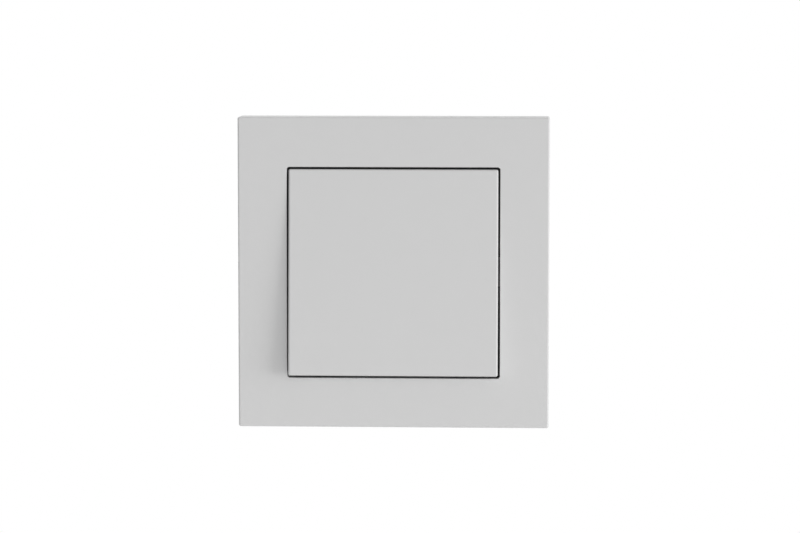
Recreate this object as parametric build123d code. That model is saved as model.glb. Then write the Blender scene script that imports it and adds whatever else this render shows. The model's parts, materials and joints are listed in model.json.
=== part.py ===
"""Wall light switch: clip-on frame, large rocker key and a two-way mechanism.

Millimetres. X is right, Y runs into the wall (the front faces -Y), Z is up.
The origin is the middle of the two box-screw slots, in the wall's plane.
Moving pieces are built in mid-throw and turned to the rest pose: key out at
the bottom, upper contact closed.
"""

import math
import os

from build123d import *

# Clearances
RUN_GAP = 0.05
SLIDE_GAP = 0.1
SEAT_GAP = 0.3
CONTACT_GAP = 0.03
OVERLAP = 0.1

# Key
KEY_WIDTH = 57.9
KEY_HEIGHT = 57.1
KEY_EDGE = 0.5
KEY_FACE = 1.8
KEY_WALL = 1.5
KEY_DEPTH = 6.0
KEY_DRAFT = 5.0
KEY_TILT = 3.6
KEY_PIVOT_DEPTH = 3.4
KEY_TOP_PROUD = 0.1
KEY_RIB = 1.0
PIN_R = 1.2
PIN_LENGTH = 3.4
PIN_RIB_HALF = 4.5
PIN_RIB_REACH = 1.6
FORK_HALF_X = 3.0
PRONG = 1.5
PRONG_REACH = 0.6
FORK_RIB_HALF_X = 12.0
FORK_RIB_HEIGHT = 2.4
CROSS_RIB_Z = 14.0
CROSS_RIB_HEIGHT = 1.6

# Frame
FRAME_SIZE = 86.0
FRAME_DEPTH = 9.0
FRAME_WALL = 2.0
FRAME_FACE = 2.2
FRAME_CORNER = 0.6
FRAME_EDGE = 0.5
SIDE_GAP = 0.5
END_GAP = 0.7
OPENING_EDGE = 0.1
LIP_WALL = 1.2
LIP_DEPTH = 1.3
LEDGE_HALF_Z = 4.0
LEDGE_REACH = 1.0
LEDGE_THICK = 0.5
FRAME_RIB = 1.2
FRAME_RIB_HEIGHT = 3.2
SIDE_RIB_Z = 12.0
END_RIB_X = 9.0
HOOK_X = 18.0
HOOK_WIDTH = 6.0
HOOK_THICK = 1.6
HOOK_NIB = 0.9
HOOK_REACH = 1.8
PRY_WIDTH = 8.0
PRY_DEPTH = 1.2

# Support plate
PLATE_THICK = 1.2
PLATE_SIDE_ROOM = 3.0
PLATE_PAST_HOOK = 3.2
PLATE_CORNER = 4.0
PLATE_RIM = 2.0
PLATE_RIM_HALF_X = 30.0
BOX_SCREW_SPACING = 60.3
BOX_SLOT_R = 2.0
BOX_SLOT_LENGTH = 7.0

# Mechanism housing
BASE_HALF_X = 18.5
BASE_HALF_Z = 18.0
BASE_WALL = 1.8
BASE_CORNER = 1.0
BASE_EDGE = 0.8
PAD_HEIGHT = 0.75
PAD_INSET = 1.0
TAB_THICK = 1.6
TAB_HALF_X = 6.0
TAB_ROOM = 3.0
LID_THICK = 1.6
WING_HALF_Z = 7.0
WING_END = 0.6
FOOT_HALF_Z = 5.5
EAR_WALL = 1.05
EAR_MOUTH = 0.85
COLLAR = 1.0
COLLAR_HEIGHT = 0.6
BEARING_WALL = 2.5
POST = 3.6
ENTRY_HALF = 3.0
ACCESS_R = 3.0
GAUGE_LENGTH = 11.0
GAUGE_WIDTH = 1.0
GAUGE_DEPTH = 0.4

# Rivets
RIVET_R = 1.5
RIVET_HEAD_R = 2.6
RIVET_HEAD = 0.6
RIVET_FLARE_R = 2.2
RIVET_FLARE = 0.5
RIVET_ROOM = 3.5

# Dolly and plunger, lengths along the nose counted from the dolly's pivot
FORK_RATIO = 2.0
HEAD_ARM = 3.0
HEAD_R = 1.4
NECK = 2.0
HUB_R = 2.2
HUB_HALF_X = 5.0
TRUNNION_R = 1.5
NOSE_R = 2.7
NOSE_END = 6.3
BORE_FLOOR = -0.3
PLUNGER_R = 1.6
PLUNGER_BACK = 3.6
PLUNGER_TIP = 9.5
PLUNGER_TIP_R = 1.2
PLUNGER_TAPER = 0.7
SPIGOT_R = 0.8
SPIGOT = 1.4
SPRING_WIRE_R = 0.2
SPRING_SIDES = 5
SPRING_TURNS = 4

# Contacts
CONTACT_TILT = 8.0
BLADE_HALF_X = 2.5
BLADE_THICK = 0.8
BLADE_END = 12.3
BLADE_CORNER = 1.5
LUG_HALF_Z = 0.6
TIP_Z = 10.5
TIP_R = 1.8
TIP_HEIGHT = 0.9
TIP_DOME = 4.0
FIXED_TIP_R = 2.0
FIXED_TIP_HEIGHT = 0.8
STRIP_THICK = 0.8
STRIP_EDGE = 2.7
STRIP_PAST_TIP = 2.8
BRACKET_HALF_Z = 2.2
ARM_THICK = 0.8
ARM_HALF_Z = 1.9
ARM_PAST_LUG = 1.0
ARM_ROOM = 0.5

# Terminals
BLOCK_X = 7.0
BLOCK_Z = 9.0
BLOCK_DEPTH = 8.0
BLOCK_EDGE = 0.4
BLOCK_SIDE_ROOM = 0.2
BLOCK_END_ROOM = 0.5
WIRE_R = 1.9
WIRE_DEPTH = 4.55
SCREW_R = 1.7
SCREW_HEAD_R = 2.6
SCREW_HEAD = 2.0
SCREW_BACK_OFF = 0.35

# Worked-out places, front to rear
FRAME_HALF = FRAME_SIZE / 2
FRAME_FRONT = -FRAME_DEPTH
FACE_BACK = FRAME_FRONT + FRAME_FACE
INNER_HALF = FRAME_HALF - FRAME_WALL
OPENING_X = KEY_WIDTH / 2 + SIDE_GAP
OPENING_Z = KEY_HEIGHT / 2 + END_GAP
OPENING_CORNER = KEY_EDGE + SIDE_GAP / 2
LIP_X = OPENING_X + LIP_WALL
LIP_Z = OPENING_Z + LIP_WALL
HOOK_INNER = LIP_Z + 2 * SEAT_GAP
HOOK_OUTER = HOOK_INNER + HOOK_THICK
SWING = math.radians(KEY_TILT)
KEY_RISE = KEY_PIVOT_DEPTH * math.cos(SWING) - KEY_HEIGHT / 2 * math.sin(SWING)
KEY_PIVOT_Y = FRAME_FRONT - KEY_TOP_PROUD + KEY_RISE
KEY_FRONT = KEY_PIVOT_Y - KEY_PIVOT_DEPTH
KEY_INNER = KEY_FRONT + KEY_FACE
LEDGE_FRONT = KEY_FRONT + KEY_DEPTH + SEAT_GAP + SLIDE_GAP
PIN_OUTER = KEY_WIDTH / 2 - KEY_WALL - 1.5 * KEY_RIB
PIN_INNER = PIN_OUTER - PIN_LENGTH
PLATE_HALF_X = INNER_HALF - PLATE_SIDE_ROOM
PLATE_HALF_Z = HOOK_OUTER + PLATE_PAST_HOOK
BASE_RIM = -PLATE_THICK - TAB_THICK
LID_FRONT = BASE_RIM - LID_THICK
RIVET_Z = BASE_HALF_Z + RIVET_ROOM
TAB_Z = RIVET_Z + TAB_ROOM
EAR_X = (PIN_INNER + SEAT_GAP, PIN_OUTER - SEAT_GAP)
EAR_HOLE_R = PIN_R + RUN_GAP
EAR_R = EAR_HOLE_R + EAR_WALL
WING_X = EAR_X[1] + WING_END
BEARING_X = (HUB_HALF_X + SEAT_GAP, HUB_HALF_X + SEAT_GAP + BEARING_WALL)
FORK_HALF_Z = HEAD_R + SLIDE_GAP
FORK_OUTER_Z = FORK_HALF_Z + PRONG
DOLLY_PIVOT_Y = KEY_PIVOT_Y + (FORK_RATIO + 1) * HEAD_ARM
DOLLY_TILT = FORK_RATIO * KEY_TILT
FORK_END = DOLLY_PIVOT_Y - HEAD_ARM + PRONG_REACH
FORK_SLOT_Z = FORK_OUTER_Z + (BASE_RIM - KEY_PIVOT_Y) * math.sin(SWING) + SEAT_GAP
NOSE_BORE_R = PLUNGER_R + SLIDE_GAP
SPRING_R = NOSE_BORE_R - SPRING_WIRE_R - 2 * SLIDE_GAP
TRUNNION_END = BEARING_X[1] - SLIDE_GAP
CONTACT_Y = DOLLY_PIVOT_Y + PLUNGER_TIP + CONTACT_GAP + BLADE_THICK / 2
LEAN = math.radians(CONTACT_TILT)
DOME_BACK = TIP_DOME - TIP_HEIGHT - BLADE_THICK / 2
TIP_REACH = TIP_DOME + TIP_Z * math.sin(LEAN) - DOME_BACK * math.cos(LEAN)
FIXED_TIP_FACE = CONTACT_Y + TIP_REACH + CONTACT_GAP
FIXED_TIP_Z = TIP_Z * math.cos(LEAN) + DOME_BACK * math.sin(LEAN)
STRIP_FRONT = FIXED_TIP_FACE + FIXED_TIP_HEIGHT
STRIP_BACK = STRIP_FRONT + STRIP_THICK
STRIP_Y = (STRIP_FRONT, STRIP_BACK)
ARM_X = (BLADE_HALF_X + ARM_ROOM, BLADE_HALF_X + ARM_ROOM + ARM_THICK)
LUG_END = ARM_X[1] + 2 * SEAT_GAP
BASE_FLOOR = STRIP_BACK + PAD_HEIGHT
BASE_REAR = BASE_FLOOR + BASE_WALL
BASE_INNER_X = BASE_HALF_X - BASE_WALL
BASE_INNER_Z = BASE_HALF_Z - BASE_WALL
BLOCK_FRONT = STRIP_FRONT - BLOCK_DEPTH
WIRE_Y = STRIP_FRONT - WIRE_DEPTH
TERMINAL_X = BASE_INNER_X - BLOCK_SIDE_ROOM - BLOCK_X / 2
TERMINAL_Z = BASE_INNER_Z - BLOCK_END_ROOM - BLOCK_Z / 2
STRIP_Z = (min(FIXED_TIP_Z, TERMINAL_Z) - STRIP_EDGE, max(FIXED_TIP_Z, TERMINAL_Z) + STRIP_EDGE)
SCREW_HOLE_R = SCREW_R + RUN_GAP
SCREW_TIP = WIRE_Y + WIRE_R + SLIDE_GAP
SCREW_HEAD_FRONT = STRIP_BACK + SCREW_BACK_OFF
SCREW_HEAD_REAR = SCREW_HEAD_FRONT + SCREW_HEAD
TERMINALS = {
    "common": (-TERMINAL_X, TERMINAL_Z),
    "upper": (TERMINAL_X, TERMINAL_Z),
    "lower": (TERMINAL_X, -TERMINAL_Z),
}


def both(lo, hi):
    """A span and its mirror image across zero."""
    return [(lo, hi), (-hi, -lo)]


def block(x, y, z):
    """A box between three spans."""
    centre = Pos((x[0] + x[1]) / 2, (y[0] + y[1]) / 2, (z[0] + z[1]) / 2)
    return centre * Box(x[1] - x[0], y[1] - y[0], z[1] - z[0])


def slab(sketch, y):
    """A sketch in the wall's plane, drawn out over a span of depth."""
    return Pos(0, y[1], 0) * extrude(Plane.XZ * sketch, amount=y[1] - y[0])


def rounded(half_x, half_z, corner):
    """A rectangle about the middle with rounded corners."""
    return RectangleRounded(2 * half_x, 2 * half_z, corner)


def rod_x(radius, x, y, z):
    """A cylinder along X."""
    return Pos((x[0] + x[1]) / 2, y, z) * Rot(0, 90, 0) * Cylinder(radius, x[1] - x[0])


def rod_y(radius, x, y, z):
    """A cylinder along Y."""
    return Pos(x, (y[0] + y[1]) / 2, z) * Rot(-90, 0, 0) * Cylinder(radius, y[1] - y[0])


def spun(profile, x, z):
    """A closed profile of (radius, y) points turned about a line along Y."""
    face = make_face(Polyline(*profile, close=True))
    return Pos(x, 0, z) * revolve(face, axis=Axis.Y)


def prism_x(points, x):
    """A polygon of (y, z) points drawn out along X."""
    face = make_face(Plane.YZ * Polyline(*points, close=True))
    return Pos(x[0], 0, 0) * extrude(face, amount=x[1] - x[0], dir=(1, 0, 0))


def turned(shape, degrees, pivot_y):
    """A shape turned about the X line through (y, z) = (pivot_y, 0)."""
    return Pos(0, pivot_y, 0) * Rot(degrees, 0, 0) * Pos(0, -pivot_y, 0) * shape


def front_edges(shape):
    """The edges of the face nearest the viewer."""
    return shape.faces().sort_by(Axis.Y)[0].edges()


def rear_edges(shape):
    """The edges of the face nearest the wall box."""
    return shape.faces().sort_by(Axis.Y)[-1].edges()


def make_cover_frame():
    """The clip-on frame: face, skirt, lip with two light-stop ledges, ribs and four hooks."""
    frame = slab(rounded(FRAME_HALF, FRAME_HALF, FRAME_CORNER), (FRAME_FRONT, 0))
    frame = fillet(front_edges(frame), FRAME_EDGE)
    frame -= slab(rounded(OPENING_X, OPENING_Z, OPENING_CORNER), (FRAME_FRONT, 0))
    face = frame.faces().sort_by(Axis.Y)[0]
    frame = chamfer(face.inner_wires().edges(), OPENING_EDGE)
    cavity = Rectangle(2 * INNER_HALF, 2 * INNER_HALF)
    lip = rounded(LIP_X, LIP_Z, OPENING_CORNER + LIP_WALL)
    frame -= slab(cavity - lip, (FACE_BACK, 0))
    frame -= slab(lip, (FACE_BACK + LIP_DEPTH, 0))
    rib_y = (FACE_BACK - OVERLAP, FACE_BACK + FRAME_RIB_HEIGHT)
    for span in both(LIP_X - OVERLAP, INNER_HALF + OVERLAP):
        for z in (-SIDE_RIB_Z, SIDE_RIB_Z):
            frame += block(span, rib_y, (z - FRAME_RIB / 2, z + FRAME_RIB / 2))
    for span in both(LIP_Z - OVERLAP, INNER_HALF + OVERLAP):
        for x in (-END_RIB_X, END_RIB_X):
            frame += block((x - FRAME_RIB / 2, x + FRAME_RIB / 2), rib_y, span)
    for x in (-HOOK_X, HOOK_X):
        for up in (1, -1):
            frame += make_hook(x, up)
    ledge_z = (-LEDGE_HALF_Z, LEDGE_HALF_Z)
    ledge_back = LEDGE_FRONT + LEDGE_THICK
    for span in both(OPENING_X, LIP_X):
        frame += block(span, (FACE_BACK, ledge_back), ledge_z)
    for span in both(OPENING_X - LEDGE_REACH, OPENING_X + OVERLAP):
        frame += block(span, (LEDGE_FRONT, ledge_back), ledge_z)
    half = PRY_WIDTH / 2
    wall = (-FRAME_HALF - OVERLAP, -INNER_HALF + OVERLAP)
    return frame - block((-half, half), (-PRY_DEPTH, OVERLAP), wall)


def make_hook(x, up):
    """One snap hook, with its nib behind the support plate."""
    root = FACE_BACK - OVERLAP
    outline = [
        (root, HOOK_INNER),
        (HOOK_REACH, HOOK_INNER),
        (HOOK_REACH, HOOK_OUTER - HOOK_NIB / 2),
        (HOOK_REACH / 2, HOOK_OUTER + HOOK_NIB),
        (SLIDE_GAP, HOOK_OUTER + HOOK_NIB),
        (SLIDE_GAP, HOOK_OUTER),
        (root, HOOK_OUTER),
    ]
    width = (x - HOOK_WIDTH / 2, x + HOOK_WIDTH / 2)
    return prism_x([(y, up * z) for y, z in outline], width)


def key_shell():
    """The key's moulded tray: face and drafted skirt."""
    outer = Rectangle(KEY_WIDTH, KEY_HEIGHT)
    shell = extrude(outer, amount=KEY_DEPTH, taper=KEY_DRAFT)
    open_edges = shell.faces().sort_by(Axis.Z)[-1].edges()
    shell = fillet(shell.edges() - open_edges, KEY_EDGE)
    cut = 2 * (KEY_WALL + KEY_FACE * math.tan(math.radians(KEY_DRAFT)))
    inner = Rectangle(KEY_WIDTH - cut, KEY_HEIGHT - cut)
    hollow = extrude(Pos(0, 0, KEY_FACE) * inner, amount=KEY_DEPTH, taper=KEY_DRAFT)
    return Pos(0, KEY_FRONT, 0) * Rot(-90, 0, 0) * (shell - hollow)


def make_rocker_key():
    """The key with pivot pins, pin ribs, stiffening ribs and the fork for the dolly."""
    key = key_shell()
    root = KEY_INNER - OVERLAP
    rib_y = (root, KEY_PIVOT_Y + PIN_RIB_REACH)
    for pin in both(PIN_INNER, PIN_OUTER):
        key += rod_x(PIN_R, (pin[0] - OVERLAP, pin[1] + OVERLAP), KEY_PIVOT_Y, 0)
        for rib in ((pin[0] - KEY_RIB, pin[0]), (pin[1], pin[1] + KEY_RIB)):
            key += block(rib, rib_y, (-PIN_RIB_HALF, PIN_RIB_HALF))
    prong = (-FORK_HALF_X, FORK_HALF_X)
    web = (-FORK_RIB_HALF_X, FORK_RIB_HALF_X)
    for z in both(FORK_HALF_Z, FORK_OUTER_Z):
        key += block(prong, (root, FORK_END), z)
        key += block(web, (root, KEY_INNER + FORK_RIB_HEIGHT), z)
    reach = KEY_WIDTH / 2 - KEY_WALL - 2 * OVERLAP
    for z in both(CROSS_RIB_Z - KEY_RIB / 2, CROSS_RIB_Z + KEY_RIB / 2):
        key += block((-reach, reach), (root, KEY_INNER + CROSS_RIB_HEIGHT), z)
    return turned(key, -KEY_TILT, KEY_PIVOT_Y)


def make_support_plate():
    """The steel plate: turned-up edges, window, box slots, hook windows and rivet holes."""
    outline = rounded(PLATE_HALF_X, PLATE_HALF_Z, PLATE_CORNER)
    corner = BASE_CORNER + SEAT_GAP
    outline -= rounded(BASE_HALF_X + SEAT_GAP, BASE_HALF_Z + SEAT_GAP, corner)
    half = BOX_SCREW_SPACING / 2
    outline -= Locations((-half, 0), (half, 0)) * SlotOverall(BOX_SLOT_LENGTH, 2 * BOX_SLOT_R)
    outline -= Locations((0, -RIVET_Z), (0, RIVET_Z)) * Circle(RIVET_R + RUN_GAP)
    tall = HOOK_THICK + 2 * SEAT_GAP
    middle = (HOOK_INNER + HOOK_OUTER) / 2 - SLIDE_GAP
    places = [(x, z) for x in (-HOOK_X, HOOK_X) for z in (-middle, middle)]
    outline -= Locations(*places) * Rectangle(HOOK_WIDTH + 4 * SEAT_GAP, tall)
    plate = slab(outline, (-PLATE_THICK, 0))
    rim = (-PLATE_THICK - PLATE_RIM, 0)
    for z in both(PLATE_HALF_Z - PLATE_THICK, PLATE_HALF_Z):
        plate += block((-PLATE_RIM_HALF_X, PLATE_RIM_HALF_X), rim, z)
    return plate


def make_ear(x):
    """An open socket that takes one of the key's pivot pins."""
    mouth = EAR_MOUTH * PIN_R
    front = KEY_PIVOT_Y - PIN_R
    ear = rod_x(EAR_R, x, KEY_PIVOT_Y, 0)
    ear += block(x, (KEY_PIVOT_Y, LID_FRONT + OVERLAP), (-EAR_R, EAR_R))
    ear -= rod_x(EAR_HOLE_R, x, KEY_PIVOT_Y, 0)
    ear -= block(x, (KEY_PIVOT_Y - EAR_R, KEY_PIVOT_Y), (-mouth, mouth))
    return ear - block(x, (KEY_PIVOT_Y - EAR_R, front), (-EAR_R, EAR_R))


def make_mechanism_cover():
    """The lid: wings with pivot ears, tabs, collared slot for the fork, and hold-down posts."""
    outline = rounded(BASE_HALF_X, BASE_HALF_Z, BASE_CORNER)
    outline += rounded(TAB_HALF_X, TAB_Z, 2 * BASE_CORNER)
    outline += rounded(WING_X, WING_HALF_Z, 2 * BASE_CORNER)
    outline -= Locations((0, -RIVET_Z), (0, RIVET_Z)) * Circle(RIVET_R + RUN_GAP)
    slot_x = FORK_HALF_X + SEAT_GAP + SLIDE_GAP
    slot = Rectangle(2 * slot_x, 2 * FORK_SLOT_Z)
    collar = Rectangle(2 * (slot_x + COLLAR), 2 * (FORK_SLOT_Z + COLLAR))
    lid = slab(outline - slot, (LID_FRONT, BASE_RIM))
    lid += slab(collar - slot, (LID_FRONT - COLLAR_HEIGHT, LID_FRONT + OVERLAP))
    back = BASE_RIM - OVERLAP
    for foot in both(BASE_HALF_X + 2 * SEAT_GAP, WING_X):
        lid += block(foot, (back, -PLATE_THICK), (-FOOT_HALF_Z, FOOT_HALF_Z))
    for ear in both(*EAR_X):
        lid += make_ear(ear)
    half = TRUNNION_R - SLIDE_GAP
    trap_y = (back, DOLLY_PIVOT_Y - TRUNNION_R - RUN_GAP)
    for trap in both(BEARING_X[0] + SLIDE_GAP, BEARING_X[1] - SLIDE_GAP):
        lid += block(trap, trap_y, (-half, half))
    half = POST / 2
    for x, z in TERMINALS.values():
        lid += block((x - half, x + half), (back, BLOCK_FRONT), (z - half, z + half))
    return lid


def bearing_walls():
    """The two walls that carry the dolly, notched at the floor where strips pass."""
    reach = BASE_INNER_Z + OVERLAP
    bottom = BASE_FLOOR + OVERLAP
    slot = TRUNNION_R + RUN_GAP
    end = BEARING_X[1] + OVERLAP
    walls = Part()
    for x in both(*BEARING_X):
        walls += block(x, (BASE_RIM, bottom), (-reach, reach))
    walls -= rod_x(slot, (-end, end), DOLLY_PIVOT_Y, 0)
    walls -= block((-end, end), (BASE_RIM - OVERLAP, DOLLY_PIVOT_Y), (-slot, slot))
    notch_y = (STRIP_FRONT - SEAT_GAP, BASE_FLOOR)
    for z in both(STRIP_Z[0] - SEAT_GAP, STRIP_Z[1] + SEAT_GAP):
        walls -= block((0, end), notch_y, z)
    half = BRACKET_HALF_Z + SEAT_GAP
    return walls - block((-end, 0), notch_y, (-half, half))


def floor_pads():
    """The pads on the housing's floor that the strips lie on."""
    pad_y = (STRIP_BACK, BASE_FLOOR + OVERLAP)
    pads = Part()
    for z in both(STRIP_Z[0] + PAD_INSET, STRIP_Z[1] - PAD_INSET):
        pads += block((FIXED_TIP_R + PAD_INSET, BEARING_X[1] + PAD_INSET), pad_y, z)
    half = BRACKET_HALF_Z - SEAT_GAP
    return pads + block((-BEARING_X[1] - PAD_INSET, 0), pad_y, (-half, half))


def make_mechanism_base():
    """The housing: open box, bearing walls, tabs, wire and screw openings, strip gauge."""
    base = slab(rounded(BASE_HALF_X, BASE_HALF_Z, BASE_CORNER), (BASE_RIM, BASE_REAR))
    base = chamfer(rear_edges(base), BASE_EDGE)
    base -= slab(Rectangle(2 * BASE_INNER_X, 2 * BASE_INNER_Z), (BASE_RIM, BASE_FLOOR))
    tab = (-TAB_HALF_X, TAB_HALF_X)
    for z in both(BASE_HALF_Z - OVERLAP, TAB_Z):
        base += block(tab, (BASE_RIM, -PLATE_THICK), z)
    base += bearing_walls()
    base += floor_pads()
    entry_y = (WIRE_Y - ENTRY_HALF, WIRE_Y + ENTRY_HALF)
    above, below = both(BASE_INNER_Z - OVERLAP, BASE_HALF_Z + OVERLAP)
    for x, z in TERMINALS.values():
        base -= rod_y(ACCESS_R, x, (BASE_FLOOR - OVERLAP, BASE_REAR + OVERLAP), z)
        base -= block((x - ENTRY_HALF, x + ENTRY_HALF), entry_y, above if z > 0 else below)
    for z in (-RIVET_Z, RIVET_Z):
        base -= rod_y(RIVET_R + RUN_GAP, 0, (BASE_RIM - OVERLAP, 0), z)
    gauge = Pos(-TERMINAL_X, -TERMINAL_Z) * Rectangle(GAUGE_LENGTH, GAUGE_WIDTH)
    return base - slab(gauge, (BASE_REAR - GAUGE_DEPTH, BASE_REAR + OVERLAP))


def make_dolly():
    """The lever: head for the fork, hub, two trunnions and a bored nose."""
    head_y = DOLLY_PIVOT_Y - HEAD_ARM
    head = (-FORK_HALF_X, FORK_HALF_X)
    dolly = rod_x(HUB_R, (-HUB_HALF_X, HUB_HALF_X), DOLLY_PIVOT_Y, 0)
    dolly += rod_x(TRUNNION_R, (-TRUNNION_END, TRUNNION_END), DOLLY_PIVOT_Y, 0)
    dolly += rod_x(HEAD_R, head, head_y, 0)
    dolly += block(head, (head_y, DOLLY_PIVOT_Y), (-NECK / 2, NECK / 2))
    end = DOLLY_PIVOT_Y + NOSE_END
    dolly += rod_y(NOSE_R, 0, (DOLLY_PIVOT_Y, end), 0)
    dolly -= rod_y(NOSE_BORE_R, 0, (DOLLY_PIVOT_Y + BORE_FLOOR, end + OVERLAP), 0)
    return turned(dolly, DOLLY_TILT, DOLLY_PIVOT_Y)


def make_spring():
    """The coil spring between the bore's floor and the plunger."""
    room = PLUNGER_BACK - BORE_FLOOR - 2 * SPRING_WIRE_R - 2 * CONTACT_GAP
    path = Helix(room / SPRING_TURNS, room, SPRING_R)
    section = RegularPolygon(SPRING_WIRE_R, SPRING_SIDES)
    wire = sweep(Plane(path @ 0, z_dir=path % 0) * section, path=path)
    start = DOLLY_PIVOT_Y + BORE_FLOOR + SPRING_WIRE_R + CONTACT_GAP
    return turned(Pos(0, start, 0) * Rot(-90, 0, 0) * wire, DOLLY_TILT, DOLLY_PIVOT_Y)


def make_plunger():
    """The plunger: spigot inside the spring, shank in the nose, rounded tip."""
    back = DOLLY_PIVOT_Y + PLUNGER_BACK
    ball = DOLLY_PIVOT_Y + PLUNGER_TIP - PLUNGER_TIP_R
    profile = [
        (0, back - SPIGOT),
        (SPIGOT_R, back - SPIGOT),
        (SPIGOT_R, back),
        (PLUNGER_R, back),
        (PLUNGER_R, ball - PLUNGER_TAPER),
        (PLUNGER_TIP_R, ball),
        (0, ball),
    ]
    plunger = spun(profile, 0, 0) + Pos(0, ball, 0) * Sphere(PLUNGER_TIP_R)
    return turned(plunger, DOLLY_TILT, DOLLY_PIVOT_Y)


def make_moving_contact():
    """The stamped see-saw blade with its two side lugs."""
    half = BLADE_THICK / 2
    outline = rounded(BLADE_HALF_X, BLADE_END, BLADE_CORNER)
    outline += Rectangle(2 * LUG_END, 2 * LUG_HALF_Z)
    blade = slab(outline, (CONTACT_Y - half, CONTACT_Y + half))
    return turned(blade, -CONTACT_TILT, CONTACT_Y)


def make_moving_tip(z):
    """A domed contact button brazed to the blade."""
    back = CONTACT_Y + BLADE_THICK / 2
    top = back + TIP_HEIGHT
    button = rod_y(TIP_R, 0, (back, top), z) & Pos(0, top - TIP_DOME, z) * Sphere(TIP_DOME)
    return turned(button, -CONTACT_TILT, CONTACT_Y)


def make_fulcrum_bracket():
    """The common strip with two arms notched for the blade's side lugs."""
    x, z = TERMINALS["common"]
    far = x - BLOCK_X / 2
    top = z + BLOCK_Z / 2
    bracket = block((far, ARM_X[1]), STRIP_Y, (-BRACKET_HALF_Z, BRACKET_HALF_Z))
    bracket += block((far, far + BLOCK_X), STRIP_Y, (-BRACKET_HALF_Z, top))
    for arm in both(*ARM_X):
        arm_y = (CONTACT_Y - ARM_PAST_LUG, STRIP_BACK)
        bracket += block(arm, arm_y, (-ARM_HALF_Z, ARM_HALF_Z))
    notch = math.hypot(BLADE_THICK / 2, LUG_HALF_Z) + RUN_GAP
    ends = (-LUG_END, LUG_END)
    bracket -= rod_x(notch, ends, CONTACT_Y, 0)
    bracket -= block(ends, (CONTACT_Y - 2 * ARM_PAST_LUG, CONTACT_Y), (-notch, notch))
    return bracket - rod_y(SCREW_R + 2 * SLIDE_GAP, x, STRIP_Y, z)


def make_contact_strip(name):
    """The strip from a fixed tip to its terminal."""
    x, z = TERMINALS[name]
    above, below = both(*STRIP_Z)
    strip = block((-STRIP_PAST_TIP, x + BLOCK_X / 2), STRIP_Y, above if z > 0 else below)
    return strip - rod_y(SCREW_R + 2 * SLIDE_GAP, x, STRIP_Y, z)


def make_fixed_tip(z):
    """A flat contact button brazed to its strip."""
    return rod_y(FIXED_TIP_R, 0, (FIXED_TIP_FACE, STRIP_FRONT), z)


def make_terminal(name):
    """A brass block with a wire bore along Z and a threaded hole from the rear."""
    x, z = TERMINALS[name]
    half = BLOCK_Z / 2
    body = slab(Pos(x, z) * Rectangle(BLOCK_X, BLOCK_Z), (BLOCK_FRONT, STRIP_FRONT))
    body = chamfer(body.edges().filter_by(Axis.Y), BLOCK_EDGE)
    body -= Pos(x, WIRE_Y, z) * Cylinder(WIRE_R, 2 * half + OVERLAP)
    return body - rod_y(SCREW_HOLE_R, x, (WIRE_Y, STRIP_FRONT), z)


def make_terminal_screw(name):
    """A terminal screw, drawn back to leave the wire bore open."""
    x, z = TERMINALS[name]
    profile = [
        (0, SCREW_TIP),
        (SCREW_R, SCREW_TIP),
        (SCREW_R, SCREW_HEAD_FRONT),
        (SCREW_HEAD_R, SCREW_HEAD_FRONT),
        (SCREW_HEAD_R, SCREW_HEAD_REAR),
        (0, SCREW_HEAD_REAR),
    ]
    return spun(profile, x, z)


def make_rivet(z):
    """A rivet through lid tab, housing tab and plate."""
    front = LID_FRONT - RIVET_HEAD
    profile = [
        (0, front),
        (RIVET_HEAD_R, front),
        (RIVET_HEAD_R, LID_FRONT),
        (RIVET_R, LID_FRONT),
        (RIVET_R, 0),
        (RIVET_FLARE_R, 0),
        (RIVET_FLARE_R, RIVET_FLARE),
        (0, RIVET_FLARE),
    ]
    return spun(profile, 0, z)


def main():
    """Build every piece and write its STEP file."""
    pieces = {
        "cover_frame": make_cover_frame(),
        "rocker_key": make_rocker_key(),
        "support_plate": make_support_plate(),
        "mechanism_cover": make_mechanism_cover(),
        "mechanism_base": make_mechanism_base(),
        "dolly": make_dolly(),
        "toggle_spring": make_spring(),
        "spring_plunger": make_plunger(),
        "moving_contact": make_moving_contact(),
        "upper_moving_tip": make_moving_tip(TIP_Z),
        "lower_moving_tip": make_moving_tip(-TIP_Z),
        "fulcrum_bracket": make_fulcrum_bracket(),
        "upper_contact_strip": make_contact_strip("upper"),
        "lower_contact_strip": make_contact_strip("lower"),
        "upper_fixed_tip": make_fixed_tip(FIXED_TIP_Z),
        "lower_fixed_tip": make_fixed_tip(-FIXED_TIP_Z),
        "upper_rivet": make_rivet(RIVET_Z),
        "lower_rivet": make_rivet(-RIVET_Z),
    }
    for name in TERMINALS:
        pieces[f"{name}_terminal"] = make_terminal(name)
        pieces[f"{name}_terminal_screw"] = make_terminal_screw(name)
    os.makedirs("parts", exist_ok=True)
    for name, shape in pieces.items():
        export_step(shape, f"parts/{name}.step")


main()
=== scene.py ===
"""Looks of the wall light switch: finishes, small fasteners, spring, stage and camera.

Metres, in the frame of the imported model: X right, Y into the wall, Z up.
"""

import json
import math

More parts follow.
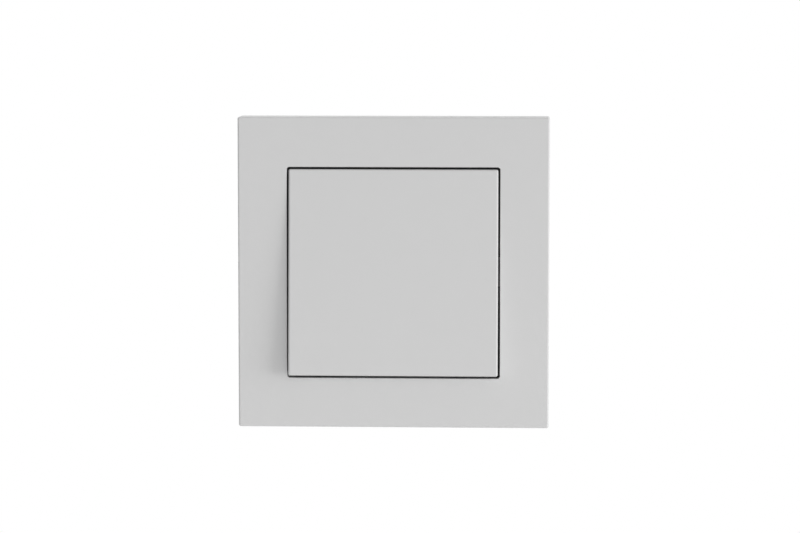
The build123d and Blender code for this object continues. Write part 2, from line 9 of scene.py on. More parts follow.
import bmesh
import bpy
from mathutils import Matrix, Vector


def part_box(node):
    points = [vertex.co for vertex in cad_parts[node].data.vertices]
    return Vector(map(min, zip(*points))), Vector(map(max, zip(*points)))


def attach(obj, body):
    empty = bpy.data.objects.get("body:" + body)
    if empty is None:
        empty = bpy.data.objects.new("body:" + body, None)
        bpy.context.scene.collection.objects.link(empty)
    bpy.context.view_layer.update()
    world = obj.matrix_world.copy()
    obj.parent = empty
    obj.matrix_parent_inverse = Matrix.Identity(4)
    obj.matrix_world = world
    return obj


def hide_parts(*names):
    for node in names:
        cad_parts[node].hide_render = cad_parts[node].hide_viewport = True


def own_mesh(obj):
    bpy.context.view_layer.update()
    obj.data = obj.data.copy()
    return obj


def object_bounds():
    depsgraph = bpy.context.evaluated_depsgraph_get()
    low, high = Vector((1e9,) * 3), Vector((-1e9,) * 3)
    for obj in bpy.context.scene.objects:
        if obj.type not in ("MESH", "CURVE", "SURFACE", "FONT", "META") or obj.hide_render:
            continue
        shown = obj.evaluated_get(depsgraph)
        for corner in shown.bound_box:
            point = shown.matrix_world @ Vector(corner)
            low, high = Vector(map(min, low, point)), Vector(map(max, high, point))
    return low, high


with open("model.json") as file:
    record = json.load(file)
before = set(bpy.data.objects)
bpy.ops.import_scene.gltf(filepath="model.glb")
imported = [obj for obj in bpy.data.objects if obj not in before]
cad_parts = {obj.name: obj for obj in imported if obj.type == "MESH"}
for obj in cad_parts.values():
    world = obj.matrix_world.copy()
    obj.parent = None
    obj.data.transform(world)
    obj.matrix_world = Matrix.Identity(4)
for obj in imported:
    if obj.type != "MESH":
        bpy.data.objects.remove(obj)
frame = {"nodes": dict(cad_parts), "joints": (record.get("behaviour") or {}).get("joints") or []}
CAD_BOX = [list(corner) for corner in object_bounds()]

bl_info = {
    "name": "Wall light switch looks",
    "version": (1, 0, 0),
    "blender": (4, 5, 0),
    "location": "View3D > Sidebar > Light switch",
    "description": "Finishes the packed light switch and sets up its studio",
    "category": "Object",
}

MM = 0.001
# Points this close are one point, and edges that bend more than this stay sharp
DOUBLED = 1e-7
SHARP = math.radians(32)
# Steps of a quarter round and of a full turn
ROUND_STEPS = 6
TURN_STEPS = 48
JOINTS = {joint["name"]: joint for joint in frame["joints"]}
# Where the front lamp and the tent's bright back are, seen from the switch
FRONT = Vector((-0.1, -1, 0.1)).normalized()
BACKDROP = Vector((-1.1, 0.5, 0.9)).normalized()


# Shader maths
class Value:
    """A socket whose arithmetic adds Math nodes to its tree."""

    def __init__(self, tree, socket):
        self.tree = tree
        self.socket = socket

    def math(self, operation, *terms):
        return self.tree.node("ShaderNodeMath", {"operation": operation}, dict(enumerate(terms)))

    def __add__(self, other):
        return self.math("ADD", self, other)

    def __radd__(self, other):
        return self.math("ADD", other, self)

    def __sub__(self, other):
        return self.math("SUBTRACT", self, other)

    def __rsub__(self, other):
        return self.math("SUBTRACT", other, self)

    def __abs__(self):
        return self.math("ABSOLUTE", self)

    def __mul__(self, other):
        return self.math("MULTIPLY", self, other)

    def __rmul__(self, other):
        return self.math("MULTIPLY", other, self)

    def at_least(self, other):
        return self.math("MAXIMUM", self, other)

    def rise(self, low, high):
        """0 below low, 1 above high and a smooth rise between."""
        settings = {"interpolation_type": "SMOOTHSTEP"}
        return self.tree.node(
            "ShaderNodeMapRange", settings, {"Value": self, "From Min": low, "From Max": high}
        )


class Tree:
    """A node tree that nodes are added to with their settings and inputs."""

    def __init__(self, node_tree):
        self.nodes = node_tree.nodes
        self.links = node_tree.links

    def node(self, kind, settings=None, inputs=None, output=0):
        """Add a node, set it up, fill its inputs and return one of its outputs."""
        made = self.nodes.new(kind)
        for name, value in (settings or {}).items():
            setattr(made, name, value)
        for key, value in (inputs or {}).items():
            self.fill(made.inputs[key], value)
        return Value(self, made.outputs[output])

    def fill(self, socket, value):
        """Link a Value to a socket, or set the socket to a plain value."""
        if isinstance(value, Value):
            self.links.new(value.socket, socket)
        else:
            socket.default_value = value


class Finish(Tree):
    """A surface finish: a material with a Principled shader to feed."""

    def __init__(self, name, **constants):
        self.material = bpy.data.materials.new(name)
        self.material.use_nodes = True
        super().__init__(self.material.node_tree)
        self.shader = self.nodes["Principled BSDF"]
        self.place = self.node("ShaderNodeTexCoord", output="Object")
        self.feed(**constants)

    def feed(self, **inputs):
        """Fill the shader's sockets, named in lower case with underscores."""
        sockets = {s.name.lower().replace(" ", "_"): s for s in self.shader.inputs}
        for name, value in inputs.items():
            self.fill(sockets[name], value)

    def in_units(self, size, stretch=(1, 1, 1)):
        """The place on the object, counted in units of this size times each axis's stretch."""
        scale = [1 / (size * s) for s in stretch]
        return self.node("ShaderNodeMapping", inputs={"Vector": self.place, "Scale": scale})

    def noise(self, size, detail=2.0, stretch=(1, 1, 1)):
        """Noise from 0 to 1 with features of about this size, drawn out along stretched axes."""
        inputs = {"Vector": self.in_units(size, stretch), "Scale": 1.0, "Detail": detail}
        return self.node("ShaderNodeTexNoise", inputs=inputs)

    def cells(self, size):
        """Distance to the nearest of points scattered about this far apart, for pits and specks."""
        inputs = {"Vector": self.in_units(size), "Scale": 1.0}
        return self.node("ShaderNodeTexVoronoi", inputs=inputs)

    def mix(self, factor, first, second):
        """A colour between two."""
        inputs = {"Factor": factor, 6: first, 7: second}
        return self.node("ShaderNodeMix", {"data_type": "RGBA"}, inputs, output=2)

    def tint(self, mask, colour, low, high):
        """The colour times low where the mask is 0, and times high where it is 1."""
        return self.mix(mask, shade(colour, low), shade(colour, high))

    def relief(self, height, depth, strength=1.0):
        """Feed the shader's Normal from a height that spans this depth."""
        inputs = {"Height": height, "Distance": depth, "Strength": strength}
        self.feed(normal=self.node("ShaderNodeBump", inputs=inputs))


def shade(colour, factor):
    """A colour made lighter or darker, with full alpha."""
    return (*(min(1.0, c * factor) for c in colour[:3]), 1.0)


def vary(middle, spread, noise):
    """A value that noise from 0 to 1 spreads about its middle."""
    return middle + spread * (noise - 0.5)


# Mouldings
def satin_moulding(name, colour, look):
    """Satin moulding with the fine grain of a spark-eroded tool, and painted shade that darkens its narrow
    gaps.
    """
    finish = Finish(name, ior=1.49, specular_ior_level=look.gloss)
    spark = finish.noise(look.grain, detail=3.0)
    flow = finish.noise(18 * MM, detail=1.0, stretch=(1, 1, 2.5))
    unshaded_tone = finish.tint(flow, colour, 0.99, 1.01)
    # Painted shade: where ambient occlusion finds a narrow gap close by, the colour darkens towards a tenth
    # of itself
    free = finish.node("ShaderNodeAmbientOcclusion", inputs={"Distance": look.shade_reach}, output="AO")
    dust = look.dust * (1 - free.rise(0.1, 0.4))
    finish.feed(base_color=finish.mix(dust, unshaded_tone, shade(colour, 0.1)))
    finish.feed(roughness=vary(vary(look.satin, 0.1, spark), 0.06, flow))
    finish.relief(spark, look.grain_depth)
    return finish.material


def matt_moulding(name, colour, look):
    """Matt technical moulding: coarser grain, pale specks of filler and faint flow lines."""
    finish = Finish(name, ior=1.5, specular_ior_level=look.gloss)
    spark = finish.noise(2.2 * look.grain, detail=4.0)
    speck = 1 - finish.cells(0.9 * MM).rise(0.08, 0.2)
    flow = finish.noise(9 * MM, detail=2.0, stretch=(1, 1, 3))
    ground = finish.tint(flow, colour, 0.93, 1.06)
    finish.feed(base_color=finish.mix(0.25 * speck, ground, shade(colour, 1.5)))
    finish.feed(roughness=vary(0.62, 0.2, spark))
    finish.relief(spark, 1.5 * look.grain_depth, 0.6)
    return finish.material


def natural_moulding(name, colour, wear):
    """Unpigmented bearing plastic: milky, slightly glossy, rubbed where it slides."""
    finish = Finish(name, ior=1.48, subsurface_weight=0.15, subsurface_scale=0.6 * MM)
    cloud = finish.noise(2.5 * MM, detail=2.0)
    rub = finish.noise(0.12 * MM, detail=2.0, stretch=(1, 6, 1)).rise(0.45, 0.7)
    finish.feed(base_color=finish.tint(cloud, colour, 0.93, 1.05))
    finish.feed(roughness=vary(0.42, 0.08, cloud) - wear * rub)
    finish.relief(rub, 0.004 * MM, 0.5)
    return finish.material


# Metals
def dark_plate(name, colour):
    """Black-passivated steel sheet: long rolling grain under a thin, slightly iridescent film."""
    finish = Finish(name, metallic=0.6)
    grain = finish.noise(0.16 * MM, detail=3.0, stretch=(60, 1, 1))
    crystal = finish.cells(0.5 * MM)
    bloom = finish.noise(14 * MM, detail=2.0).rise(0.35, 0.65)
    blue = (0.85 * colour[0], 0.95 * colour[1], 1.15 * colour[2])
    olive = (1.1 * colour[0], 1.08 * colour[1], 0.85 * colour[2])
    film = finish.mix(bloom, shade(blue, 1.0), shade(olive, 1.0))
    finish.feed(base_color=finish.mix(0.6 * crystal, film, shade(colour, 1.8)))
    finish.feed(roughness=vary(0.42, 0.16, grain) + 0.12 * crystal)
    finish.relief(grain, 0.006 * MM, 0.5)
    return finish.material


def stamped_sheet(name, colour, tarnish):
    """Stamped copper-alloy strip: rolling lines, handling stains and slight tarnish."""
    finish = Finish(name, metallic=1.0)
    grain = finish.noise(0.09 * MM, detail=3.0, stretch=(40, 1, 1))
    stain = finish.noise(3.5 * MM, detail=3.0).rise(0.48, 0.72)
    dull = shade((colour[0], 0.86 * colour[1], 0.72 * colour[2]), 0.72)
    finish.feed(base_color=finish.mix(tarnish * stain, shade(colour, 1.0), dull))
    finish.feed(roughness=vary(0.24, 0.12, grain) + 0.2 * tarnish * stain)
    finish.relief(grain, 0.004 * MM, 0.5)
    return finish.material


def sawn_bar(name, colour):
    """Drawn brass bar, sawn and drilled: draw lines along the bar and dull end faces."""
    finish = Finish(name, metallic=1.0)
    drawn = finish.noise(0.1 * MM, detail=3.0, stretch=(1, 1, 50))
    sawn = finish.noise(0.22 * MM, detail=2.0, stretch=(30, 1, 1))
    normal = finish.node("ShaderNodeNewGeometry", output="Normal")
    ends = finish.node("ShaderNodeSeparateXYZ", inputs={"Vector": normal}, output=2)
    end_face = abs(ends).rise(0.8, 0.95)
    lines = drawn + end_face * (sawn - drawn)
    finish.feed(base_color=finish.tint(lines, colour, 0.86, 1.04))
    finish.feed(roughness=vary(0.26, 0.14, lines) + 0.12 * end_face)
    finish.relief(lines, 0.008 * MM, 0.6)
    return finish.material


def contact_silver(name, colour):
    """Silver alloy contact face: coined flat, faintly sooted by switching."""
    finish = Finish(name, metallic=1.0)
    coined = finish.noise(0.07 * MM, detail=2.0)
    soot = finish.noise(0.8 * MM, detail=3.0).rise(0.5, 0.75)
    finish.feed(base_color=finish.tint(0.45 * soot, colour, 1.0, 0.35))
    finish.feed(roughness=vary(0.28, 0.1, coined) + 0.25 * soot)
    finish.relief(coined, 0.005 * MM, 0.5)
    return finish.material


def plated_steel(name, colour, bright):
    """Barrel-plated small steel piece: fine dents from tumbling and a faint bloom."""
    finish = Finish(name, metallic=1.0)
    dents = finish.cells(0.35 * MM).rise(0.0, 0.6)
    bloom = finish.noise(1.6 * MM, detail=2.0)
    warm = (colour[0], 0.98 * colour[1], 0.9 * colour[2])
    finish.feed(base_color=finish.mix(bloom, shade(colour, 0.92), shade(warm, 1.03)))
    finish.feed(roughness=vary(0.38 - bright, 0.12, bloom))
    finish.relief(dents, 0.004 * MM, 0.4)
    return finish.material


def drawn_wire(name, colour):
    """Drawn spring wire: die lines, oil-dark patches."""
    finish = Finish(name, metallic=1.0)
    lines = finish.noise(0.03 * MM, detail=2.0, stretch=(4, 4, 1))
    oil = finish.noise(0.9 * MM, detail=2.0).rise(0.4, 0.7)
    finish.feed(base_color=finish.tint(0.5 * oil, colour, 1.0, 0.6))
    finish.feed(roughness=vary(0.25, 0.16, lines) + 0.1 * oil)
    finish.relief(lines, 0.002 * MM, 0.5)
    return finish.material


# Meshes
def dress(material, *nodes):
    """Give CAD nodes a finish."""
    for name in nodes:
        for slot in frame["nodes"][name].material_slots:
            slot.material = material


def turned_levels(node):
    """A turned node's middle and, for each y of its mesh, its smallest and largest radius."""
    low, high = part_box(node)
    middle = (low + high) / 2
    levels = {}
    for vertex in frame["nodes"][node].data.vertices:
        radius = math.hypot(vertex.co.x - middle.x, vertex.co.z - middle.z)
        levels.setdefault(round(vertex.co.y, 6), []).append(radius)
    return middle, [(y, min(found), max(found)) for y, found in sorted(levels.items())]


def ring_mesh(name, rings):
    """A closed mesh through rings of points, all of one length, capped at both ends."""
    count = len(rings[0])
    points = [point for ring in rings for point in ring]
    faces = []
    for row in range(len(rings) - 1):
        for i in range(count):
            j = (i + 1) % count
            here = row * count
            faces.append((here + i, here + j, here + count + j, here + count + i))
    faces.append(tuple(reversed(range(count))))
    faces.append(tuple(range(len(points) - count, len(points))))
    mesh = bpy.data.meshes.new(name)
    mesh.from_pydata(points, [], faces)
    return tidy(mesh)


def tidy(mesh):
    """Merge doubled points, turn faces outward and shade smooth between sharp edges."""
    work = bmesh.new()
    work.from_mesh(mesh)
    bmesh.ops.remove_doubles(work, verts=work.verts, dist=DOUBLED)
    bmesh.ops.recalc_face_normals(work, faces=work.faces)
    work.to_mesh(mesh)
    work.free()
    mesh.shade_smooth()
    mesh.set_sharp_from_angle(angle=SHARP)
    return mesh


def arc(centre, radius, start, end):
    """Points of a round corner in a (radius, y) profile, angles in degrees from +radius to +y."""
    turns = [math.radians(start + (end - start) * i / ROUND_STEPS) for i in range(ROUND_STEPS + 1)]
    return [(centre[0] + radius * math.cos(t), centre[1] + radius * math.sin(t)) for t in turns]


def lathe(profile, x, z):
    """Rings of points for a (radius, y) profile turned about a line along Y."""
    turns = [2 * math.pi * i / TURN_STEPS for i in range(TURN_STEPS)]
    return [
        [(x + radius * math.cos(t), y, z + radius * math.sin(t)) for t in turns]
        for radius, y in profile
    ]


def cut_away(mesh, boxes):
    """A mesh less some boxes, given by their lowest and highest corners."""
    body = bpy.data.objects.new("cut_body", mesh)
    bpy.context.scene.collection.objects.link(body)
    cutters = []
    for low, high in boxes:
        work = bmesh.new()
        bmesh.ops.create_cube(work, size=1.0)
        bmesh.ops.scale(work, vec=Vector(high) - Vector(low), verts=work.verts)
        bmesh.ops.translate(work, vec=(Vector(high) + Vector(low)) / 2, verts=work.verts)
        shape = bpy.data.meshes.new("cutter")
        work.to_mesh(shape)
        work.free()
        cutter = bpy.data.objects.new("cutter", shape)
        bpy.context.scene.collection.objects.link(cutter)
        change = body.modifiers.new("cut", "BOOLEAN")
        change.operation = "DIFFERENCE"
        change.solver = "EXACT"
        change.object = cutter
        cutters.append(cutter)
    graph = bpy.context.evaluated_depsgraph_get()
    result = bpy.data.meshes.new_from_object(body.evaluated_get(graph))
    result.name = mesh.name
    for used in (body, *cutters):
        bpy.data.objects.remove(used)
    return tidy(result)


def without_slivers(node):
    """A CAD node's mesh less the empty triangles at the poles of its rounded corners."""
    mesh = frame["nodes"][node].data.copy()
    work = bmesh.new()
    work.from_mesh(mesh)
    bmesh.ops.dissolve_degenerate(work, edges=work.edges, dist=DOUBLED)
    work.to_mesh(mesh)
    work.free()
    return mesh


def stand_for(node, mesh, body, material):
    """Put a mesh in place of a CAD node, riding on its body."""
    mesh.materials.clear()
    mesh.materials.append(material)
    piece = bpy.data.objects.new(f"{node}_detail", mesh)
    bpy.context.scene.collection.objects.link(piece)
    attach(piece, body)
    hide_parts(node)
    return piece


# Settings
def colour_property(name, description, default):
    """A colour setting."""
    return bpy.props.FloatVectorProperty(
        name=name, description=description, default=default, subtype="COLOR", min=0.0, max=1.0
    )


def length_property(name, description, default):
    """A length setting in metres."""
    return bpy.props.FloatProperty(
        name=name, description=description, default=default, unit="LENGTH", min=0.0, precision=6
    )


def angle_property(name, description, degrees):
    """An angle setting."""
    return bpy.props.FloatProperty(
        name=name, description=description, default=math.radians(degrees), subtype="ANGLE"
    )


def light_property(name, description, default):
    """A share of light, where 1 shows a colour as it is written."""
    return bpy.props.FloatProperty(name=name, description=description, default=default, min=0.0)


def factor_property(name, description, default):
    """A factor from 0 to 1."""
    return bpy.props.FloatProperty(
        name=name, description=description, default=default, subtype="FACTOR", min=0.0, max=1.0
    )


class FinishSettings(bpy.types.PropertyGroup):
    """Colours and grain of the finishes."""

    white: colour_property("White moulding", "Frame and key", (0.61, 0.61, 0.61))
    lid: colour_property("Lid moulding", "Mechanism lid", (0.055, 0.056, 0.06))
    base: colour_property("Housing moulding", "Mechanism housing", (0.52, 0.52, 0.5))
    acetal: colour_property("Acetal", "Dolly", (0.74, 0.72, 0.66))
    nylon: colour_property("Nylon", "Spring plunger", (0.68, 0.62, 0.48))
    plate: colour_property("Plate steel", "Support plate", (0.035, 0.035, 0.037))
    brass: colour_property("Brass", "Strips and terminals", (0.8, 0.58, 0.25))
    bronze: colour_property("Bronze", "Contact blade", (0.78, 0.46, 0.28))
    silver: colour_property("Silver alloy", "Contact tips", (0.85, 0.83, 0.79))
    steel: colour_property("Plated steel", "Screws, rivets and spring", (0.66, 0.67, 0.69))
    grain: length_property("Grain", "Size of the moulding grain", 0.17 * MM)
    grain_depth: length_property("Grain depth", "Depth of the moulding grain", 0.015 * MM)
    satin: factor_property("Satin", "Roughness of the white moulding", 0.46)
    # Painted shade in narrow gaps: how far the occlusion looks, and how dark the gaps' walls are painted
    shade_reach: length_property("Dust gap", "Depth of the narrow gaps that hold dust", 3.0 * MM)
    dust: factor_property("Dust", "How much of the gap's walls the dust covers", 0.9)
    gloss: factor_property("Gloss", "Specular level of the mouldings", 0.4)


class FastenerSettings(bpy.types.PropertyGroup):
    """Sizes of screws, rivets and spring that the CAD model leaves plain."""

    pitch: length_property("Thread pitch", "Terminal screw thread", 0.6 * MM)
    thread_depth: length_property("Thread depth", "Terminal screw thread", 0.33 * MM)
    head_edge: length_property("Head edge", "Rounding of the screw head", 0.3 * MM)
    slot_width: length_property("Slot width", "Screwdriver slot", 0.8 * MM)
    slot_depth: length_property("Slot depth", "Screwdriver slot", 1.0 * MM)
    cross_reach: length_property("Cross reach", "Half length of the cross recess", 1.45 * MM)
    rivet_edge: length_property("Rivet edge", "Rounding of the rivet heads", 0.35 * MM)
    dimple: length_property("Dimple", "Setting mark in the rivet's tail", 0.9 * MM)
    coils: bpy.props.IntProperty(name="Coils", description="Turns of the spring", default=5, min=3)


class StageSettings(bpy.types.PropertyGroup):
    """Camera and light of the studio."""

    distance: length_property("Distance", "Camera to the switch", 0.86)
    azimuth: angle_property("Azimuth", "Camera to the right of the switch", 2.8)
    elevation: angle_property("Elevation", "Camera above the switch", 5.3)
    lens: bpy.props.FloatProperty(name="Lens", description="Focal length in mm", default=138.75)
    shift_x: bpy.props.FloatProperty(name="Shift X", description="Lens shift", default=0.0064)
    shift_y: bpy.props.FloatProperty(name="Shift Y", description="Lens shift", default=0.0044)
    ambient: light_property("Ambient", "Strength of the light tent", 0.5)
    tilt: light_property("Tilt", "How much brighter the tent is on the right", 0.5)
    backdrop: light_property("Backdrop", "How much brighter the tent is behind", 1.4)
    lamp_distance: length_property("Lamp distance", "Lamps to the switch", 3.0)
    lamp_size: length_property("Lamp size", "Side of the square lamps", 1.6)
    side_angle: angle_property("Side angle", "Side lamp in front of the wall's plane", 22)
    front_light: light_property("Front light", "Share of the light on the front from the front lamp", 0.215)
    side_light: light_property("Side light", "Share of the light on the front from the side lamp", 0.18)
    floor_drop: length_property("Floor drop", "Floor below the switch", 0.12)
    floor_radius: length_property("Floor radius", "Where the floor has faded out", 0.5)
    floor: colour_property("Floor", "Pale floor", (0.92, 0.92, 0.92))


# Operators
class LIGHTSWITCH_OT_mouldings(bpy.types.Operator):
    """Finish the frame, the key and the mouldings of the mechanism"""

    bl_idname = "lightswitch.mouldings"
    bl_label = "Finish the mouldings"

    def execute(self, context):
        look = context.scene.lightswitch_finish
        dress(satin_moulding("frame_satin", look.white, look), "cover_frame")
        satin = satin_moulding("key_satin", look.white, look)
        key = without_slivers("rocker_key")
        stand_for("rocker_key", key, "rocker", satin)
        dress(matt_moulding("lid_matt", look.lid, look), "mechanism_cover")
        dress(matt_moulding("base_matt", look.base, look), "mechanism_base")
        dress(natural_moulding("dolly_acetal", look.acetal, wear=0.12), "dolly")
        nylon = natural_moulding("plunger_nylon", look.nylon, wear=0.18)
        plunger = without_slivers("spring_plunger")
        stand_for("spring_plunger", plunger, "plunger", nylon)
        return {"FINISHED"}


class LIGHTSWITCH_OT_metalwork(bpy.types.Operator):
    """Finish the plate, the strips, the terminals and the contacts"""

    bl_idname = "lightswitch.metalwork"
    bl_label = "Finish the metalwork"

    def execute(self, context):
        look = context.scene.lightswitch_finish
        dress(dark_plate("plate_black", look.plate), "support_plate")
        strips = ("fulcrum_bracket", "upper_contact_strip", "lower_contact_strip")
        dress(stamped_sheet("strip_brass", look.brass, tarnish=0.6), *strips)
        dress(stamped_sheet("blade_bronze", look.bronze, tarnish=0.4), "moving_contact")
        blocks = ("common_terminal", "upper_terminal", "lower_terminal")
        dress(sawn_bar("terminal_brass", look.brass), *blocks)
        tips = ("upper_moving_tip", "lower_moving_tip", "upper_fixed_tip", "lower_fixed_tip")
        dress(contact_silver("tip_silver", look.silver), *tips)
        return {"FINISHED"}


class LIGHTSWITCH_OT_terminal_screws(bpy.types.Operator):
    """Replace the plain terminal screws by threaded ones with slot and cross"""

    bl_idname = "lightswitch.terminal_screws"
    bl_label = "Thread the terminal screws"

    ROWS_PER_PITCH = 10
    # The flank's fall in thread depths per pitch, and how much of it the flat crest takes up
    FLANK = 2.6
    CREST = 0.15
    # How far below the head the thread runs out, in pitches
    RUN_OUT = 0.6

    def thread(self, sizes, tip, head, crest):
        """Rings of a threaded shank about the Y axis, running out below the head."""
        rows = math.ceil((head - tip) / sizes.pitch * self.ROWS_PER_PITCH)
        rings = []
        for row in range(rows + 1):
            y = tip + (head - tip) * row / rows
            lead_in = min(1.0, (y - tip) / sizes.pitch)
            run_out = min(1.0, (head - y) / (self.RUN_OUT * sizes.pitch))
            ring = []
            for i in range(TURN_STEPS):
                turn = i / TURN_STEPS
                phase = (y / sizes.pitch - turn) % 1.0
                groove = min(1.0, max(0.0, self.FLANK * abs(phase - 0.5) - self.CREST))
                depth = sizes.thread_depth * (1 - (1 - groove) * lead_in * run_out)
                angle = 2 * math.pi * turn
                radius = crest - depth
                ring.append((radius * math.cos(angle), y, radius * math.sin(angle)))
            rings.append(ring)
        return rings

    def screw_mesh(self, node, sizes):
        """One screw: threaded shank, round-edged head, slot and cross recess."""
        middle, levels = turned_levels(node)
        tip, head, top = (level[0] for level in levels)
        crest = levels[0][2]
        rim = levels[-1][2]
        edge = sizes.head_edge
        rings = [
            [(x + middle.x, y, z + middle.z) for x, y, z in ring]
            for ring in self.thread(sizes, tip, head, crest)
        ]
        under = edge / 3
        profile = [(rim - under, head), (rim, head + under)]
        profile += arc((rim - edge, top - edge), edge, 0, 90)
        rings += lathe(profile, middle.x, middle.z)
        floor = top - sizes.slot_depth
        half = sizes.slot_width / 2
        slot = (
            (middle.x - 2 * rim, floor, middle.z - half),
            (middle.x + 2 * rim, top + edge, middle.z + half),
        )
        reach = sizes.cross_reach
        cross = (
            (middle.x - half, floor - edge, middle.z - reach),
            (middle.x + half, top + edge, middle.z + reach),
        )
        return cut_away(ring_mesh(f"{node}_detail", rings), [slot, cross])

    def execute(self, context):
        look = context.scene.lightswitch_finish
        sizes = context.scene.lightswitch_fasteners
        zinc = plated_steel("screw_zinc", look.steel, bright=0.06)
        for name in ("common", "upper", "lower"):
            node = f"{name}_terminal_screw"
            stand_for(node, self.screw_mesh(node, sizes), "housing", zinc)
        return {"FINISHED"}


class LIGHTSWITCH_OT_rivets(bpy.types.Operator):
    """Replace the plain rivets by ones with rounded heads and a set tail"""

    bl_idname = "lightswitch.rivets"
    bl_label = "Set the rivets"

    # Radius and depth of the dimple's floor, in radii of its mouth
    DIMPLE_FLOOR = 0.6
    DIMPLE_DEPTH = 0.35

    def rivet_mesh(self, node, sizes):
        """One rivet, turned from its CAD sizes with rounded edges and a dimpled tail."""
        middle, levels = turned_levels(node)
        front, seat, back, tail = (level[0] for level in levels)
        head_r = levels[0][2]
        shank_r = levels[1][1]
        tail_r = levels[-1][2]
        edge = sizes.rivet_edge
        dimple = sizes.dimple
        profile = arc((head_r - edge, front + edge), edge, -90, 0)
        profile += [(head_r, seat), (shank_r, seat), (shank_r, back), (tail_r, back)]
        profile += arc((tail_r - edge, tail - edge), edge, 0, 90)
        profile += [(dimple, tail), (self.DIMPLE_FLOOR * dimple, tail - self.DIMPLE_DEPTH * dimple)]
        return ring_mesh(f"{node}_detail", lathe(profile, middle.x, middle.z))

    def execute(self, context):
        look = context.scene.lightswitch_finish
        sizes = context.scene.lightswitch_fasteners
        nickel = plated_steel("rivet_nickel", look.steel, bright=0.12)
        for node in ("upper_rivet", "lower_rivet"):
            stand_for(node, self.rivet_mesh(node, sizes), "housing", nickel)
        return {"FINISHED"}


class LIGHTSWITCH_OT_toggle_spring(bpy.types.Operator):
    """Replace the plain spring by a round wire coil with closed ends"""

    bl_idname = "lightswitch.toggle_spring"
    bl_label = "Wind the spring"

    STEPS_PER_TURN = 40
    WIRE_SIDES = 12

    def measure(self, axis, pivot):
        """Where the CAD spring starts and ends along its axis, and its coil and wire radius."""
        along, away = [], []
        for vertex in frame["nodes"]["toggle_spring"].data.vertices:
            offset = vertex.co - pivot
            reach = offset.dot(axis)
            along.append(reach)
            away.append((offset - reach * axis).length)
        wire = (max(away) - min(away)) / 2
        return min(along), max(along), (max(away) + min(away)) / 2, wire

    def wind(self, axis, pivot, coils):
        """Rings of a coil whose first and last turns lie closed."""
        start, end, coil, wire = self.measure(axis, pivot)
        side = Vector((1, 0, 0))
        up = axis.cross(side)
        travel = end - start - 2 * wire
        closed = 2 * wire / travel
        steps = coils * self.STEPS_PER_TURN
        round_wire = [2 * math.pi * i / self.WIRE_SIDES for i in range(self.WIRE_SIDES)]
        rings = []
        for step in range(steps + 1):
            turn = coils * step / steps
            middle = min(max((turn - 1) / (coils - 2), 0.0), 1.0)
            ends = min(turn, 1.0) + max(turn - coils + 1, 0.0)
            rise = closed * ends + (1 - 2 * closed) * middle
            angle = 2 * math.pi * turn
            out = math.cos(angle) * side + math.sin(angle) * up
            centre = pivot + (start + wire + travel * rise) * axis + coil * out
            rings.append([centre + wire * (math.cos(a) * out + math.sin(a) * axis) for a in round_wire])
        return rings, start, end - start

    def execute(self, context):
        look = context.scene.lightswitch_finish
        coils = context.scene.lightswitch_fasteners.coils
        slide = JOINTS["plunger_slide"]
        axis = Vector(slide["axis"]).normalized()
        pivot = Vector(JOINTS["dolly_swing"]["pos_m"])
        rings, start, length = self.wind(axis, pivot, coils)
        mesh = ring_mesh("toggle_spring_detail", rings)
        wire = drawn_wire("spring_wire", look.steel)
        spring = stand_for("toggle_spring", mesh, "dolly", wire)
        keep = 1 + slide["range_m"][0] / length
        pivot + start * axis
        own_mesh(spring)
        return {"FINISHED"}


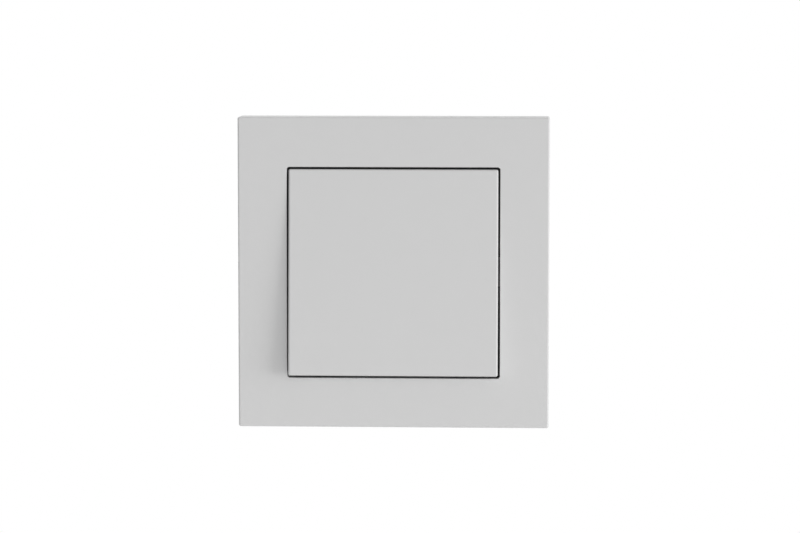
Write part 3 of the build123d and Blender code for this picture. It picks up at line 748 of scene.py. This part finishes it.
class LIGHTSWITCH_OT_stage(bpy.types.Operator):
    """Set up the floor, the light tent, the lamps and the camera"""

    bl_idname = "lightswitch.stage"
    bl_label = "Set the stage"

    FLOOR_SIDES = 64
    # Where the floor starts to fade and where it has faded out, in floor radii
    FADE_START = 0.35
    FADE_END = 0.98

    def light_tent(self, context, stage):
        """A surround, brighter on the right and high behind, that camera and reflections see white."""
        world = bpy.data.worlds.new("light_tent")
        world.use_nodes = True
        context.scene.world = world
        tree = Tree(world.node_tree)
        path = world.node_tree.nodes.new("ShaderNodeLightPath")
        seen = Value(tree, path.outputs["Is Camera Ray"])
        for ray in ("Is Glossy Ray", "Is Transmission Ray"):
            seen = seen.at_least(Value(tree, path.outputs[ray]))
        direction = tree.node("ShaderNodeTexCoord", output="Generated")
        right = tree.node("ShaderNodeSeparateXYZ", inputs={"Vector": direction}, output="X")
        depth = tree.node("ShaderNodeSeparateXYZ", inputs={"Vector": direction}, output="Y")
        towards = tree.node(
            "ShaderNodeVectorMath", {"operation": "DOT_PRODUCT"}, {0: direction, 1: BACKDROP}, output="Value"
        )
        behind = towards.at_least(0.0) * depth.rise(0.0, 0.2)
        light = stage.ambient + stage.tilt * right + stage.backdrop * behind
        strength = light + seen * (1.0 - light)
        background = world.node_tree.nodes["Background"]
        tree.fill(background.inputs["Color"], (1.0, 1.0, 1.0, 1.0))
        tree.fill(background.inputs["Strength"], strength)

    def floor(self, context, stage):
        """A plain pale floor below the switch that fades into the white surround."""
        radius = stage.floor_radius
        work = bmesh.new()
        bmesh.ops.create_circle(work, cap_ends=True, segments=self.FLOOR_SIDES, radius=radius)
        mesh = bpy.data.meshes.new("floor")
        work.to_mesh(mesh)
        work.free()
        paint = Finish("floor_paint", base_color=shade(stage.floor, 1.0), roughness=0.9)
        reach = paint.node("ShaderNodeVectorMath", {"operation": "LENGTH"}, {0: paint.place}, output="Value")
        paint.feed(alpha=1 - reach.rise(self.FADE_START * radius, self.FADE_END * radius))
        mesh.materials.append(paint.material)
        floor = bpy.data.objects.new("floor", mesh)
        floor.location = (0, 0, CAD_BOX[0][2] - stage.floor_drop)
        context.scene.collection.objects.link(floor)

    def lamp(self, context, stage, name, away, share):
        """A large soft lamp that gives a share of the light on the wall's plane."""
        distance = stage.lamp_distance
        lamp = bpy.data.lights.new(name, "AREA")
        lamp.size = stage.lamp_size
        # At this power a white surface in the wall's plane is as bright as the share
        lamp.energy = math.pi ** 2 * distance ** 2 * share / abs(away.y)
        holder = bpy.data.objects.new(name, lamp)
        holder.location = distance * away
        holder.rotation_euler = away.to_track_quat("Z", "Y").to_euler()
        context.scene.collection.objects.link(holder)

    def lamps(self, context, stage):
        """One lamp beside the camera and one on the right."""
        angle = stage.side_angle
        side = Vector((math.cos(angle), -math.sin(angle), 0))
        self.lamp(context, stage, "front_lamp", FRONT, stage.front_light)
        self.lamp(context, stage, "side_lamp", side, stage.side_light)

    def camera(self, context, stage):
        """The camera in front of the switch, a little above it and to the right."""
        lens = bpy.data.cameras.new("front_camera")
        lens.lens = stage.lens
        lens.shift_x = stage.shift_x
        lens.shift_y = stage.shift_y
        holder = bpy.data.objects.new("front_camera", lens)
        level = Vector((math.sin(stage.azimuth), -math.cos(stage.azimuth), 0))
        away = math.cos(stage.elevation) * level + math.sin(stage.elevation) * Vector((0, 0, 1))
        holder.location = stage.distance * away
        holder.rotation_euler = away.to_track_quat("Z", "Y").to_euler()
        context.scene.collection.objects.link(holder)
        context.scene.camera = holder

    def execute(self, context):
        stage = context.scene.lightswitch_stage
        self.light_tent(context, stage)
        self.floor(context, stage)
        self.lamps(context, stage)
        self.camera(context, stage)
        context.scene.view_settings.view_transform = "Standard"
        return {"FINISHED"}


class LIGHTSWITCH_PT_panel(bpy.types.Panel):
    """Settings and steps of the light switch"""

    bl_idname = "LIGHTSWITCH_PT_panel"
    bl_label = "Light switch"
    bl_space_type = "VIEW_3D"
    bl_region_type = "UI"
    bl_category = "Light switch"

    def draw(self, context):
        for operator in OPERATORS:
            self.layout.operator(operator.bl_idname)
        for pointer in SETTINGS:
            settings = getattr(context.scene, pointer)
            box = self.layout.box()
            for name in settings.__annotations__:
                box.prop(settings, name)


SETTINGS = {
    "lightswitch_finish": FinishSettings,
    "lightswitch_fasteners": FastenerSettings,
    "lightswitch_stage": StageSettings,
}
OPERATORS = (
    LIGHTSWITCH_OT_mouldings,
    LIGHTSWITCH_OT_metalwork,
    LIGHTSWITCH_OT_terminal_screws,
    LIGHTSWITCH_OT_rivets,
    LIGHTSWITCH_OT_toggle_spring,
    LIGHTSWITCH_OT_stage,
)
CLASSES = (*SETTINGS.values(), *OPERATORS, LIGHTSWITCH_PT_panel)


def register():
    """Register the classes and hang the settings on the scene."""
    for cls in CLASSES:
        bpy.utils.register_class(cls)
    for pointer, group in SETTINGS.items():
        setattr(bpy.types.Scene, pointer, bpy.props.PointerProperty(type=group))


def unregister():
    """Take the settings and the classes away again."""
    for pointer in SETTINGS:
        delattr(bpy.types.Scene, pointer)
    for cls in reversed(CLASSES):
        bpy.utils.unregister_class(cls)


def main():
    """Run every step."""
    register()
    bpy.ops.lightswitch.mouldings()
    bpy.ops.lightswitch.metalwork()
    bpy.ops.lightswitch.terminal_screws()
    bpy.ops.lightswitch.rivets()
    bpy.ops.lightswitch.toggle_spring()
    bpy.ops.lightswitch.stage()


if __name__ == "__main__":
    main()
